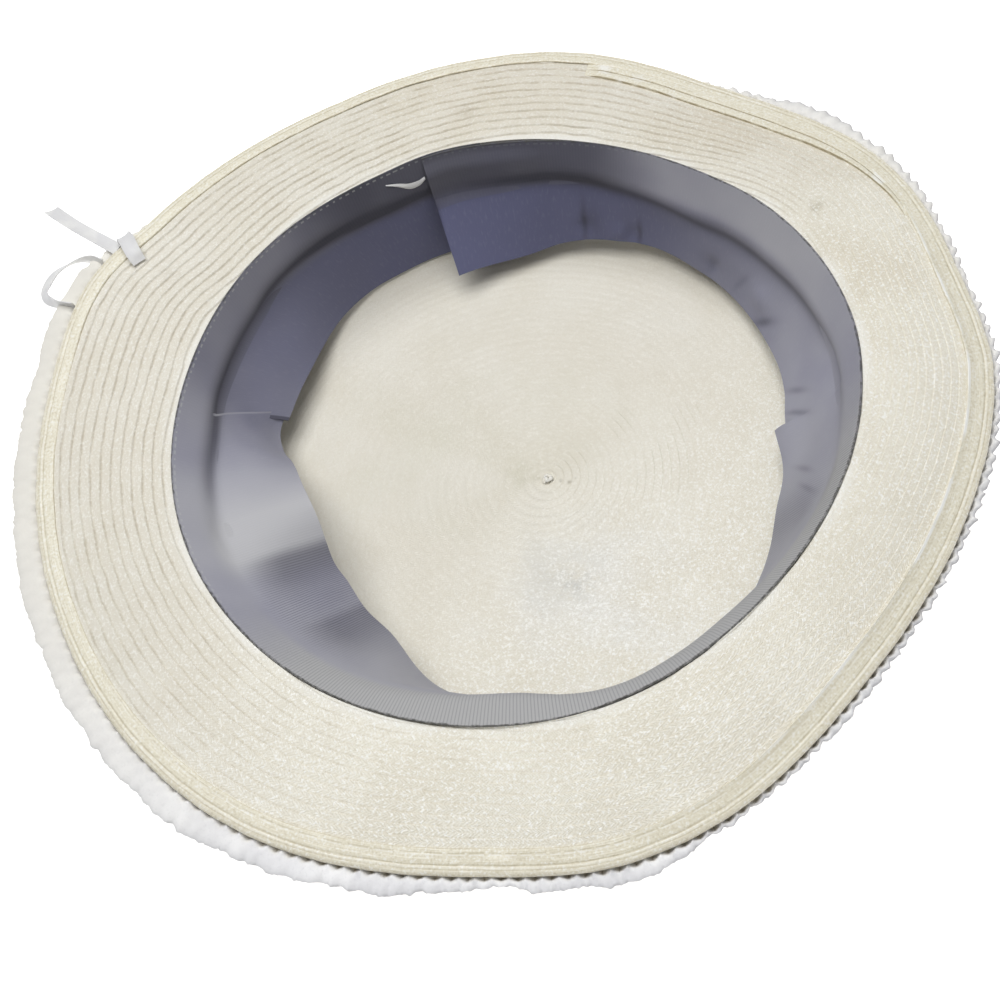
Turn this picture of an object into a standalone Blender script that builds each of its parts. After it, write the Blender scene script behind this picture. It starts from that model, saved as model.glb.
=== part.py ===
# A platter hat lying upside down on its crown, in metres, +Z up.
# The origin is the middle of the flat tip's outer face, and the hat's front is towards -Y.
import math
from collections import namedtuple

import bmesh
import bpy

# Straw body
HEAD_RADIUS = 0.088        # hat's axis to the rim of the opening
CROWN_DEPTH = 0.039        # tip's outer face to the brim's upper face at the rim
STRAW_WALL = 0.0012        # sewn straw braid
SHOULDER_RADIUS = 0.008    # outside of the bend between the tip and the wall
WALL_LEAN = 7.0            # degrees that the wall leans outward
BRIM_WIDTH = 0.038         # rim to the outside of the bead, at the broad side
BRIM_CURL = 1.6            # power of the brim's fall towards its edge
COLLAR_HEIGHT = 0.006      # brim's collar round the top of the crown's wall
SEAM_GAP = 0.0003          # between pieces that are sewn together
STRAW_COLOR = (0.78, 0.74, 0.62)

# Folded straw band at the brim's edge
BINDING_WIDTH = 0.004
BINDING_WALL = 0.001

# Sweatband of grosgrain ribbon
BAND_WIDTH = 0.036
BAND_WALL = 0.001
BAND_BEND = 0.010          # from its seam to the fold where it flops inward
BEND_LENGTH = 0.006        # length of ribbon that the fold takes
BAND_PROUD = 0.0003        # its sewn edge stands above the brim
TIP_CLEARANCE = 0.0016     # its loose edge stays above the tip

# Accordion-pleated ruffle
PLEAT_PITCH = 0.0037
PLEAT_HEIGHT = 0.0025
RUFFLE_WALL = 0.0018       # measured upright, so that a pleat's slope is over 1 mm thick
RUFFLE_SEAM = 0.016        # from the brim's edge in to the ruffle's sewn edge
RUFFLE_REACH = 0.0075      # past the bead, at the broad side
RUFFLE_DROOP = 0.0015      # fall of its loose edge

# Narrow ribbon tied through the brim
RIBBON_WIDTH = 0.0034
RIBBON_WALL = 0.001
BOW_ANGLE = 133.0
BOW_LENGTH = 0.028         # the tail, from the bead to its tip

# Fineness of the facets
RING_STEPS = 72
BAND_STEPS = 80
SHOULDER_STEPS = 3

# Rim of the opening: how far it wanders from a circle, as a share of HEAD_RADIUS
RimRow = namedtuple("RimRow", "angle out")
RIM_ROWS = (
    RimRow(-155, -0.006),
    RimRow(-130, 0.002),
    RimRow(-95, 0.009),
    RimRow(-58, -0.015),
    RimRow(-22, 0.015),
    RimRow(-5, 0.028),
    RimRow(20, 0.012),
    RimRow(38, -0.013),
    RimRow(62, -0.013),
    RimRow(86, 0.006),
    RimRow(98, -0.003),
    RimRow(124, 0.010),
    RimRow(148, -0.003),
    RimRow(180, -0.004),
)

# Brim: reach and fall of its edge round the hat, as shares of BRIM_WIDTH
BrimRow = namedtuple("BrimRow", "angle reach fall")
BRIM_ROWS = (
    BrimRow(-175, 0.97, 0.070),
    BrimRow(-150, 0.99, 0.085),
    BrimRow(-134, 0.98, 0.090),
    BrimRow(-110, 0.895, 0.110),
    BrimRow(-95, 0.94, 0.115),
    BrimRow(-83, 0.91, 0.125),
    BrimRow(-70, 0.82, 0.140),
    BrimRow(-58, 0.765, 0.145),
    BrimRow(-36, 0.775, 0.155),
    BrimRow(-16, 0.84, 0.160),
    BrimRow(-2, 0.81, 0.155),
    BrimRow(18, 0.915, 0.145),
    BrimRow(43, 0.85, 0.125),
    BrimRow(65, 0.965, 0.115),
    BrimRow(88, 0.935, 0.105),
    BrimRow(112, 0.93, 0.050),
    BrimRow(128, 0.93, -0.030),
    BrimRow(139, 1.06, -0.025),
    BrimRow(155, 1.01, 0.020),
)

# Sweatband, from its covered start round to its loose end: the lean from upright above and
# below the fold, and how far the end's layer stands in front of the start, in walls
BandRow = namedtuple("BandRow", "angle upper lower layer")
BAND_ROWS = (
    BandRow(78, 10, 9, 0.0),
    BandRow(103, 10, 9, 0.0),
    BandRow(112, 12, 12, 0.0),
    BandRow(132, 18, 28, 0.0),
    BandRow(149, 25, 37, 0.0),
    BandRow(155, 33, 43, 0.0),
    BandRow(161, 41, 57, 0.0),
    BandRow(169, 47, 66, 0.0),
    BandRow(182, 50, 68, 0.0),
    BandRow(200, 50, 54, 0.0),
    BandRow(223, 50, 40, 0.0),
    BandRow(234, 52, 26, 0.0),
    BandRow(250, 58, 20, 0.0),
    BandRow(266, 58, 20, 0.0),
    BandRow(285, 50, 20, 0.0),
    BandRow(300, 38, 20, 0.0),
    BandRow(319, 25, 31, 0.0),
    BandRow(340, 22, 34, 0.0),
    BandRow(356, 20, 32, 0.0),
    BandRow(377, 15, 24, 0.0),
    BandRow(398, 12, 11, 0.0),
    BandRow(421, 12, 11, 0.3),
    BandRow(433, 17, 19, 1.4),
    BandRow(449, 22, 27, 1.6),
)

# Ruffle: reach past the bead, as a share of RUFFLE_REACH
RuffleRow = namedtuple("RuffleRow", "angle reach")
RUFFLE_ROWS = (
    RuffleRow(-170, 1.00),
    RuffleRow(-145, 0.84),
    RuffleRow(-128, 0.66),
    RuffleRow(-114, 0.42),
    RuffleRow(-107, 0.22),
    RuffleRow(-102, 0.40),
    RuffleRow(-92, 0.42),
    RuffleRow(-87, 0.14),
    RuffleRow(-75, 0.08),
    RuffleRow(-58, 0.14),
    RuffleRow(-25, 0.20),
    RuffleRow(0, 0.16),
    RuffleRow(20, 0.45),
    RuffleRow(31, 0.64),
    RuffleRow(42, 0.40),
    RuffleRow(95, 0.40),
    RuffleRow(137, 0.76),
    RuffleRow(160, 0.98),
)

# Bow: each row is a point on a ribbon's middle line, measured outward from the bead, along the
# edge and upward, as shares of BOW_LENGTH. Lean is 0 where the ribbon stands on edge, 90 flat
BowRow = namedtuple("BowRow", "out along up lean")
TIE_ROWS = (
    BowRow(-0.345, 0.078, 0.036, 90),
    BowRow(-0.255, 0.035, 0.088, 90),
    BowRow(-0.105, -0.050, 0.107, 90),
    BowRow(-0.015, -0.090, 0.105, 90),
    BowRow(0.042, -0.110, 0.050, 90),
    BowRow(0.054, -0.113, -0.035, 90),
)
TAIL_ROWS = (
    BowRow(0.018, 0.010, -0.010, 90),
    BowRow(0.280, -0.005, 0.015, 82),
    BowRow(0.600, -0.030, 0.030, 80),
    BowRow(1.000, -0.090, 0.010, 88),
)
LOOP_ROWS = (
    BowRow(0.014, 0.200, -0.030, 0),
    BowRow(0.180, 0.200, -0.045, 0),
    BowRow(0.330, 0.280, -0.050, 35),
    BowRow(0.430, 0.440, -0.055, 60),
    BowRow(0.430, 0.610, -0.050, 60),
    BowRow(0.360, 0.710, -0.035, 30),
    BowRow(0.190, 0.745, -0.020, 0),
    BowRow(0.014, 0.745, -0.010, 0),
)


def between(rows, column, angle, closed=True):
    # Reads a table's column at any angle, on a smooth curve through its rows
    places = [(row.angle, getattr(row, column)) for row in rows]
    if closed:
        angle = (angle - places[0][0]) % 360 + places[0][0]
        before = (places[-1][0] - 360, places[-1][1])
        after = [(place + 360, value) for place, value in places[:2]]
        places = [before] + places + after
    else:
        angle = min(max(angle, places[0][0]), places[-1][0])
        places = [places[0]] + places + [places[-1]]
    at = 1
    while at < len(places) - 3 and angle > places[at + 1][0]:
        at += 1
    (a0, v0), (a1, v1), (a2, v2), (a3, v3) = places[at - 1:at + 3]
    span = a2 - a1
    t = (angle - a1) / span
    slope1 = (v2 - v0) / (a2 - a0) * span
    slope2 = (v3 - v1) / (a3 - a1) * span
    return (
        (2 * t**3 - 3 * t**2 + 1) * v1
        + (t**3 - 2 * t**2 + t) * slope1
        + (3 * t**2 - 2 * t**3) * v2
        + (t**3 - t**2) * slope2
    )


def polar(angle, radius, height):
    turn = math.radians(angle)
    return (radius * math.cos(turn), radius * math.sin(turn), height)


def rim_radius(angle):
    return HEAD_RADIUS * (1 + between(RIM_ROWS, "out", angle))


def shoulder_centre():
    # Radius at which the round of the shoulder is centred, so that it is tangent to the wall
    lean = math.radians(WALL_LEAN)
    wall_outside = HEAD_RADIUS + STRAW_WALL / math.cos(lean)
    tangent_height = SHOULDER_RADIUS * (1 - math.sin(lean))
    tangent_radius = wall_outside - (CROWN_DEPTH - tangent_height) * math.tan(lean)
    return tangent_radius - SHOULDER_RADIUS * math.cos(lean)


def crown_radius(angle, height, inset):
    # Radius of the crown's outer face, or of the face that lies inset inside it
    lean = math.radians(WALL_LEAN)
    bend = SHOULDER_RADIUS - inset
    tangent_height = SHOULDER_RADIUS - bend * math.sin(lean)
    tangent_radius = shoulder_centre() + bend * math.cos(lean)
    if height < tangent_height:
        rise = min(bend, SHOULDER_RADIUS - height)
        return shoulder_centre() + math.sqrt(bend**2 - rise**2)
    wander = rim_radius(angle) - HEAD_RADIUS
    share = (height - tangent_height) / (CROWN_DEPTH - tangent_height)
    return tangent_radius + (height - tangent_height) * math.tan(lean) + wander * share


def bead_overhang():
    # From the brim's own edge to the outside of the bead
    return SEAM_GAP + bead_radius()


def bead_radius():
    return STRAW_WALL / 2 + SEAM_GAP + BINDING_WALL


def bead_outside(angle):
    return rim_radius(angle) + BRIM_WIDTH * between(BRIM_ROWS, "reach", angle)


def brim_edge(angle):
    return bead_outside(angle) - bead_overhang()


def brim_top(angle, radius):
    # Height of the brim's upper face
    rim = rim_radius(angle)
    share = max(0.0, (radius - rim) / (brim_edge(angle) - rim))
    fall = BRIM_WIDTH * between(BRIM_ROWS, "fall", angle)
    return CROWN_DEPTH - fall * share**BRIM_CURL


def edge_middle(angle):
    return brim_top(angle, brim_edge(angle)) - STRAW_WALL / 2


def add_object(name, bm, color, roughness):
    bmesh.ops.recalc_face_normals(bm, faces=bm.faces)
    mesh = bpy.data.meshes.new(name)
    bm.to_mesh(mesh)
    bm.free()
    mesh.shade_smooth()
    mesh.set_sharp_from_angle(angle=math.radians(40))
    material = bpy.data.materials.new(name)
    material.use_nodes = True
    shader = material.node_tree.nodes["Principled BSDF"]
    shader.inputs["Base Color"].default_value = (*color, 1.0)
    shader.inputs["Roughness"].default_value = roughness
    shader.inputs["Metallic"].default_value = 0.0
    material.diffuse_color = (*color, 1.0)
    mesh.materials.append(material)
    made = bpy.data.objects.new(name, mesh)
    bpy.context.scene.collection.objects.link(made)
    return made


def skin(bm, loops, wrap):
    # Joins equal loops of points by four-sided faces, the last to the first if wrap is set
    rows = [[bm.verts.new(point) for point in loop] for loop in loops]
    pairs = list(zip(rows, rows[1:]))
    if wrap:
        pairs.append((rows[-1], rows[0]))
    for one, other in pairs:
        for i in range(len(one)):
            j = (i + 1) % len(one)
            bm.faces.new((one[i], one[j], other[j], other[i]))
    return rows


def close_strip(bm, loop):
    # Closes the end of a strip whose section runs out along one face and back along the other
    last = len(loop) - 1
    for i in range(len(loop) // 2 - 1):
        bm.faces.new((loop[i], loop[i + 1], loop[last - i - 1], loop[last - i]))


def ring_object(name, section, steps, color, roughness):
    # A ring whose closed section, a list of (radius, height), may change round the hat
    bm = bmesh.new()
    loops = []
    for step in range(steps):
        angle = 360 * step / steps
        loops.append([polar(angle, radius, height) for radius, height in section(angle, step)])
    skin(bm, loops, wrap=True)
    return add_object(name, bm, color, roughness)


def crown_levels(inset):
    # Heights of the rings on one face of the crown, from the tip up to the rim
    lean = math.radians(WALL_LEAN)
    bend = SHOULDER_RADIUS - inset
    levels = []
    for step in range(SHOULDER_STEPS + 1):
        turn = (math.pi / 2 - lean) * step / SHOULDER_STEPS
        levels.append(SHOULDER_RADIUS - bend * math.cos(turn))
    levels.append(CROWN_DEPTH - STRAW_WALL - SEAM_GAP)
    return levels


def make_tip():
    bm = bmesh.new()
    radius = shoulder_centre() - SEAM_GAP
    angles = [360 * step / RING_STEPS for step in range(RING_STEPS)]
    loops = [[polar(angle, radius, height) for angle in angles] for height in (0.0, STRAW_WALL)]
    for row in skin(bm, loops, wrap=False):
        bm.faces.new(row)
    return add_object("crown_tip", bm, STRAW_COLOR, 0.45)


def side_section(angle, _step):
    # From the tip's edge round the shoulder and up the wall, then back down its inner face
    faces = []
    for inset in (0.0, STRAW_WALL):
        levels = crown_levels(inset)
        faces.append([(crown_radius(angle, height, inset), height) for height in levels])
    return faces[0] + faces[1][::-1]


def brim_section(angle, _step):
    rim = rim_radius(angle)
    edge = brim_edge(angle)
    under = CROWN_DEPTH - STRAW_WALL
    foot = CROWN_DEPTH - COLLAR_HEIGHT
    collar_top = crown_radius(angle, under, 0.0) + SEAM_GAP
    collar_foot = crown_radius(angle, foot, 0.0) + SEAM_GAP
    radii = [rim + (edge - rim) * share for share in (0.0, 0.25, 0.5, 0.75, 1.0)]
    points = [(radius, brim_top(angle, radius)) for radius in radii]
    points += [(radius, brim_top(angle, radius) - STRAW_WALL) for radius in reversed(radii[1:])]
    outside = collar_top + STRAW_WALL
    points.append((outside, brim_top(angle, outside) - STRAW_WALL))
    points.append((collar_foot + STRAW_WALL, foot))
    points.append((collar_foot, foot))
    points.append((collar_top, under))
    points.append((rim, under))
    return points


def binding_section(angle, _step):
    edge = brim_edge(angle)
    lap = edge - BINDING_WIDTH
    bead = bead_radius()
    centre = edge + SEAM_GAP
    middle = edge_middle(angle)
    half = math.sqrt(0.5) * bead
    inner = STRAW_WALL / 2 + SEAM_GAP
    lap_middle = brim_top(angle, lap) - STRAW_WALL / 2
    return [
        (lap, lap_middle + bead),
        (centre, middle + bead),
        (centre + half, middle + half),
        (centre + bead, middle),
        (centre + half, middle - half),
        (centre, middle - bead),
        (lap, lap_middle - bead),
        (lap, lap_middle - inner),
        (centre, middle - inner),
        (centre, middle + inner),
        (lap, lap_middle + inner),
    ]


def ruffle_section(angle, step):
    # Every second station is a ridge and the ones between are valleys
    edge = brim_edge(angle)
    side = 1 if step % 2 == 0 else -1
    below = bead_radius() + SEAM_GAP + PLEAT_HEIGHT / 2 + RUFFLE_WALL / 2
    sewn = edge - RUFFLE_SEAM
    loose = bead_outside(angle) + RUFFLE_REACH * between(RUFFLE_ROWS, "reach", angle)
    sewn_height = brim_top(angle, sewn) - STRAW_WALL / 2 - below + side * PLEAT_HEIGHT / 2
    loose_height = edge_middle(angle) - below - RUFFLE_DROOP + side * PLEAT_HEIGHT / 2
    return [
        (sewn, sewn_height + RUFFLE_WALL / 2),
        (loose, loose_height + RUFFLE_WALL / 2),
        (loose, loose_height - RUFFLE_WALL / 2),
        (sewn, sewn_height - RUFFLE_WALL / 2),
    ]


def make_ruffle():
    round_edge = 2 * math.pi * (HEAD_RADIUS + BRIM_WIDTH)
    pleats = round(round_edge / PLEAT_PITCH)
    return ring_object("ruffle", ruffle_section, 2 * pleats, (0.86, 0.86, 0.86), 0.6)


def band_lean(angle, along):
    # Lean from upright at a distance along the ribbon's width, turning smoothly at the fold
    upper = math.radians(between(BAND_ROWS, "upper", angle, closed=False))
    lower = math.radians(between(BAND_ROWS, "lower", angle, closed=False))
    # Where the crown is too shallow for the loose part, it leans over until it clears the tip
    room = CROWN_DEPTH + BAND_PROUD - STRAW_WALL - TIP_CLEARANCE - BAND_BEND * math.cos(upper)
    hanging = BAND_WIDTH - BAND_BEND
    needed = math.acos(min(1.0, max(0.0, room / hanging)))
    lower = max(lower, needed)
    turned = (along - BAND_BEND) / BEND_LENGTH + 0.5
    turned = min(1.0, max(0.0, turned))
    turned = turned**2 * (3 - 2 * turned)
    return upper + (lower - upper) * turned


def band_profile(angle):
    # Points of the outer face, from the seam to the loose edge, each with its lean
    layer = BAND_WALL * between(BAND_ROWS, "layer", angle, closed=False)
    radius = rim_radius(angle) - 2 * SEAM_GAP - layer
    height = CROWN_DEPTH + BAND_PROUD
    hanging = BAND_WIDTH - BAND_BEND
    stops = [0.0]
    stops += [BAND_BEND + BEND_LENGTH * share for share in (-0.5, 0.0, 0.5)]
    stops += [BAND_BEND + hanging * share for share in (0.55, 1.0)]
    pieces = 8
    points = [(radius, height, band_lean(angle, 0.0))]
    for start, stop in zip(stops, stops[1:]):
        length = (stop - start) / pieces
        for piece in range(pieces):
            lean = band_lean(angle, start + length * (piece + 0.5))
            radius -= length * math.sin(lean)
            height -= length * math.cos(lean)
        # The ribbon lies against the crown's wall where it would otherwise pass through it
        against = crown_radius(angle, height, STRAW_WALL) - 2 * SEAM_GAP - layer
        radius = min(radius, against)
        points.append((radius, height, band_lean(angle, stop)))
    return points


def band_loop(angle):
    outer = []
    inner = []
    for radius, height, lean in band_profile(angle):
        outer.append(polar(angle, radius, height))
        inside = radius - BAND_WALL * math.cos(lean)
        inner.append(polar(angle, inside, height + BAND_WALL * math.sin(lean)))
    return outer + inner[::-1]


def make_sweatband():
    bm = bmesh.new()
    first = BAND_ROWS[0].angle
    turn = BAND_ROWS[-1].angle - first
    loops = [band_loop(first + turn * step / BAND_STEPS) for step in range(BAND_STEPS + 1)]
    rows = skin(bm, loops, wrap=False)
    close_strip(bm, rows[0])
    close_strip(bm, rows[-1])
    return add_object("sweatband", bm, (0.32, 0.32, 0.42), 0.75)


def bow_point(row):
    along = math.degrees(BOW_LENGTH * row.along / bead_outside(BOW_ANGLE))
    angle = BOW_ANGLE + along
    radius = bead_outside(angle) + BOW_LENGTH * row.out
    height = edge_middle(angle) + BOW_LENGTH * row.up
    return polar(angle, radius, height)


def direction(start, end):
    step = [b - a for a, b in zip(start, end)]
    length = math.sqrt(sum(part * part for part in step))
    return [part / length for part in step]


def make_ribbon(name, rows):
    # A flat ribbon along a line of points: four corners round each point
    line = [bow_point(row) for row in rows]
    last = len(line) - 1
    loops = []
    for i, row in enumerate(rows):
        ahead = direction(line[max(i - 1, 0)], line[min(i + 1, last)])
        level = math.hypot(ahead[0], ahead[1])
        lean = math.radians(row.lean)
        flat = [-ahead[1] / level, ahead[0] / level, 0.0]
        standing = [
            flat[1] * ahead[2],
            -flat[0] * ahead[2],
            flat[0] * ahead[1] - flat[1] * ahead[0],
        ]
        across = [math.sin(lean) * f - math.cos(lean) * s for f, s in zip(flat, standing)]
        face = [
            across[1] * ahead[2] - across[2] * ahead[1],
            across[2] * ahead[0] - across[0] * ahead[2],
            across[0] * ahead[1] - across[1] * ahead[0],
        ]
        corners = []
        for side, up in ((-1, 1), (1, 1), (1, -1), (-1, -1)):
            corner = [
                c + side * a * RIBBON_WIDTH / 2 + up * f * RIBBON_WALL / 2
                for c, a, f in zip(line[i], across, face)
            ]
            corners.append(corner)
        loops.append(corners)
    bm = bmesh.new()
    ends = skin(bm, loops, wrap=False)
    close_strip(bm, ends[0])
    close_strip(bm, ends[-1])
    return add_object(name, bm, (0.88, 0.88, 0.87), 0.35)


def main():
    for old in list(bpy.data.objects):
        bpy.data.objects.remove(old)
    make_tip()
    ring_object("crown_side", side_section, RING_STEPS, STRAW_COLOR, 0.45)
    ring_object("brim", brim_section, RING_STEPS, STRAW_COLOR, 0.45)
    ring_object("edge_binding", binding_section, RING_STEPS, (0.74, 0.67, 0.47), 0.5)
    make_sweatband()
    make_ruffle()
    make_ribbon("bow_tie", TIE_ROWS)
    make_ribbon("bow_tail", TAIL_ROWS)
    make_ribbon("bow_loop", LOOP_ROWS)


main()
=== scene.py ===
# Platter hat lying upside down on its crown: straw, ribbon and ruffle around the fixed frame.
# Lengths are in metres, and angles go round the hat in degrees from +X; its front is at -Y.
import random
from math import cos, degrees, exp, floor, pi, radians, sin, sqrt, tan

import bmesh
import bpy
from mathutils import Matrix, Vector, noise


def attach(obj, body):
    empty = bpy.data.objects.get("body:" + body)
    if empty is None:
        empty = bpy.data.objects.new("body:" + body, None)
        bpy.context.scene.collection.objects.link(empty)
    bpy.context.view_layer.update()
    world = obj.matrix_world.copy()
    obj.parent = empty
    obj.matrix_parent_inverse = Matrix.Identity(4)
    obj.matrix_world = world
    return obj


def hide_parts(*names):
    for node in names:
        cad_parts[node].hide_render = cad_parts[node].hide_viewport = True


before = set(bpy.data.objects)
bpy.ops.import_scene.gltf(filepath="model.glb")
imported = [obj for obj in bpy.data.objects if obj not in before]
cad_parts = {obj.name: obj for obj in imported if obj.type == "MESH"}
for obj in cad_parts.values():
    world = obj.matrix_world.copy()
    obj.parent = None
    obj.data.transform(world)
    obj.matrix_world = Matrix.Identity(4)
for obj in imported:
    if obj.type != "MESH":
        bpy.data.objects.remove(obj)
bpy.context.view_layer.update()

mm = 0.001

hat = {
    "headRadius": 0.088,
    "crownDepth": 0.039,
    "strawWall": 0.0012,
    "shoulderRadius": 0.008,
    "wallLean": 7,
    "brimWidth": 0.038,
    "brimCurl": 1.6,
    "beadOverhang": 0.0022,   # straw's own edge to the outside of the edge band
}

crownDepth, strawWall = hat["crownDepth"], hat["strawWall"]
shoulderRadius, beadOverhang = hat["shoulderRadius"], hat["beadOverhang"]

# angle, how far the rim wanders from a circle as a share of headRadius
rimTable = [
    (-155, -0.006), (-130, 0.002), (-95, 0.009), (-58, -0.015), (-22, 0.015), (-5, 0.028),
    (20, 0.012), (38, -0.013), (62, -0.013), (86, 0.006), (98, -0.003), (124, 0.010),
    (148, -0.003), (180, -0.004),
]

# angle, the brim's reach and its edge's fall as shares of brimWidth
brimTable = [
    (-175, 0.97, 0.070), (-150, 0.99, 0.085), (-134, 0.98, 0.090), (-110, 0.895, 0.110),
    (-95, 0.94, 0.115), (-83, 0.91, 0.125), (-70, 0.82, 0.140), (-58, 0.765, 0.145),
    (-36, 0.775, 0.155), (-16, 0.84, 0.160), (-2, 0.81, 0.155), (18, 0.915, 0.145),
    (43, 0.85, 0.125), (65, 0.965, 0.115), (88, 0.935, 0.105), (112, 0.93, 0.050),
    (128, 0.93, -0.030), (139, 1.06, -0.025), (155, 1.01, 0.020),
]


def readTable(table, column, angle, closed=True):
    # reads a table's column at any angle, on a smooth curve through its rows
    places = [(row[0], row[column]) for row in table]
    if closed:
        angle = (angle - places[0][0]) % 360 + places[0][0]
        places = [(places[-1][0] - 360, places[-1][1])] + places
        places += [(a + 360, v) for a, v in places[1:3]]
    else:
        angle = min(max(angle, places[0][0]), places[-1][0])
        places = [places[0]] + places + [places[-1]]
    at = 1
    while at < len(places) - 3 and angle > places[at + 1][0]:
        at += 1
    (a0, v0), (a1, v1), (a2, v2), (a3, v3) = places[at - 1:at + 3]
    span = a2 - a1
    t = (angle - a1) / span
    slope1 = (v2 - v0) / (a2 - a0) * span
    slope2 = (v3 - v1) / (a3 - a1) * span
    return (
        (2 * t**3 - 3 * t**2 + 1) * v1 + (t**3 - 2 * t**2 + t) * slope1
        + (3 * t**2 - 2 * t**3) * v2 + (t**3 - t**2) * slope2
    )


def clamp(value, low=0, high=1):
    return min(high, max(low, value))


def ease(value, low=0, high=1):
    t = clamp((value - low) / (high - low))
    return t * t * (3 - 2 * t)


def polar(angle, radius, height):
    turn = radians(angle)
    return Vector((radius * cos(turn), radius * sin(turn), height))


def bumpy(point, size, seed=0):
    # smooth noise from -1 to 1 that changes over the given size
    return noise.noise(Vector((point[0] / size + seed, point[1] / size - seed, point[2] / size)))


shapeAt = {}


def station(angle):
    # rim, straw edge and fall of the brim at one angle
    key = round(angle % 360, 4)
    if key not in shapeAt:
        rim = hat["headRadius"] * (1 + readTable(rimTable, 1, key))
        outside = rim + hat["brimWidth"] * readTable(brimTable, 1, key)
        fall = hat["brimWidth"] * readTable(brimTable, 2, key)
        shapeAt[key] = (rim, outside - beadOverhang, fall)
    return shapeAt[key]


def brimTop(angle, radius):
    rim, edge, fall = station(angle)
    share = max(0, (radius - rim) / (edge - rim))
    return crownDepth - fall * share ** hat["brimCurl"]


lean = radians(hat["wallLean"])
wallOutside = hat["headRadius"] + strawWall / cos(lean)
bendTop = shoulderRadius * (1 - sin(lean))
bendCentre = (
    wallOutside - (crownDepth - bendTop) * tan(lean)
    - shoulderRadius * cos(lean)
)


def crownRadius(angle, height, inset):
    # radius of the crown's outer face, or of a face that lies inset inside it
    bend = shoulderRadius - inset
    tangentHeight = shoulderRadius - bend * sin(lean)
    if height < tangentHeight:
        rise = min(bend, shoulderRadius - height)
        return bendCentre + sqrt(bend**2 - rise**2)
    wander = station(angle)[0] - hat["headRadius"]
    share = (height - tangentHeight) / (crownDepth - tangentHeight)
    straight = bendCentre + bend * cos(lean) + (height - tangentHeight) * tan(lean)
    return straight + wander * share


def meshPiece(name, verts, faces, material, maskNames=(), sharp=50, merge=2e-6):
    # verts holds for each point its place, its (u, v) and the amounts of the masks that materials read
    mesh = bpy.data.meshes.new(name)
    mesh.from_pydata([vert[0] for vert in verts], [], faces)
    flat = []
    for loop in mesh.loops:
        flat.extend(verts[loop.vertex_index][1])
    mesh.uv_layers.new(name="rows").data.foreach_set("uv", flat)
    for n, key in enumerate(maskNames):
        amounts = [vert[2][n] for vert in verts]
        mesh.attributes.new(key, "FLOAT", "POINT").data.foreach_set("value", amounts)
    bm = bmesh.new()
    bm.from_mesh(mesh)
    if merge:
        bmesh.ops.remove_doubles(bm, verts=bm.verts, dist=merge)
        bmesh.ops.dissolve_degenerate(bm, dist=merge / 2, edges=bm.edges)
    bmesh.ops.recalc_face_normals(bm, faces=bm.faces)
    bm.to_mesh(mesh)
    bm.free()
    mesh.shade_smooth()
    mesh.set_sharp_from_angle(angle=radians(sharp))
    mesh.materials.append(material)
    return addObject(name, mesh)


def addObject(name, data):
    made = bpy.data.objects.new(name, data)
    bpy.context.scene.collection.objects.link(made)
    return made


def gridFaces(rows, columns, start=0, closed=True, capped=False):
    faces = []
    for i in range(rows - 1):
        a = start + i * columns
        for j in range(columns if closed else columns - 1):
            k = (j + 1) % columns
            faces.append((a + j, a + k, a + columns + k, a + columns + j))
    if capped:
        for i in (0, rows - 1):
            faces.append(tuple(start + i * columns + j for j in range(columns)))
    return faces


inWork = {}                    # the node tree of the material that was begun last


def newMaterial(name):
    material = bpy.data.materials.new(name)
    material.use_nodes = True
    inWork["tree"] = material.node_tree
    return material


def setInputs(node, values):
    for key, value in values.items():
        socket = node.inputs[key]
        if isinstance(value, bpy.types.NodeSocket):
            node.id_data.links.new(value, socket)
        elif socket.type == "RGBA":
            socket.default_value = (*value, 1)
        else:
            socket.default_value = value


def addNode(kind, inputs, **settings):
    made = inWork["tree"].nodes.new("ShaderNode" + kind)
    for key, value in settings.items():
        setattr(made, key, value)
    setInputs(made, inputs)
    return made


def calc(operation, first, second=0):
    return addNode("Math", {0: first, 1: second}, operation=operation).outputs[0]


def times(value, *factors):
    for factor in factors:
        value = calc("MULTIPLY", value, factor)
    return value


def awayFrom(value, line):
    return calc("ABSOLUTE", calc("SUBTRACT", value, line))


def zigzag(value, pitch):
    # up to 0.5 and back to 0 in each pitch
    return calc("PINGPONG", calc("DIVIDE", value, pitch), 0.5)


def spread(value, low, high, toLow=0, toHigh=1):
    inputs = {"Value": value, "From Min": low, "From Max": high, "To Min": toLow, "To Max": toHigh}
    return addNode("MapRange", inputs, interpolation_type="SMOOTHSTEP").outputs["Result"]


def layered(color, *layers):
    # lays each tint over the colour by its factor
    for factor, tint in layers:
        color = addNode("Mix", {0: factor, 6: color, 7: tint}, data_type="RGBA").outputs[2]
    return color


def noiseAt(vector, scale, detail=2, roughness=0.5):
    inputs = {"Vector": vector, "Scale": scale, "Detail": detail, "Roughness": roughness}
    return addNode("TexNoise", inputs).outputs[0]


def fineGrain(place):
    return noiseAt(place, 1500, 3, 0.6)


def streaks(along, across, alongScale, acrossScale, detail=2):
    # noise drawn out along or across a row
    inputs = {0: times(along, alongScale), 1: times(across, acrossScale)}
    return noiseAt(addNode("CombineXYZ", inputs).outputs[0], 1, detail)


def finishMaterial(material, color, roughness, height, strength, distance, **settings):
    bump = addNode("Bump", {"Height": height, "Strength": strength, "Distance": distance})
    values = {"Base Color": color, "Roughness": roughness, "Normal": bump.outputs["Normal"]}
    values.update((key.replace("_", " "), value) for key, value in settings.items())
    setInputs(material.node_tree.nodes["Principled BSDF"], values)
    return material


def masksOf(names):
    return [
        addNode("Attribute", {}, attribute_name=name, attribute_type="GEOMETRY").outputs["Fac"]
        for name in names
    ]


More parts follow.
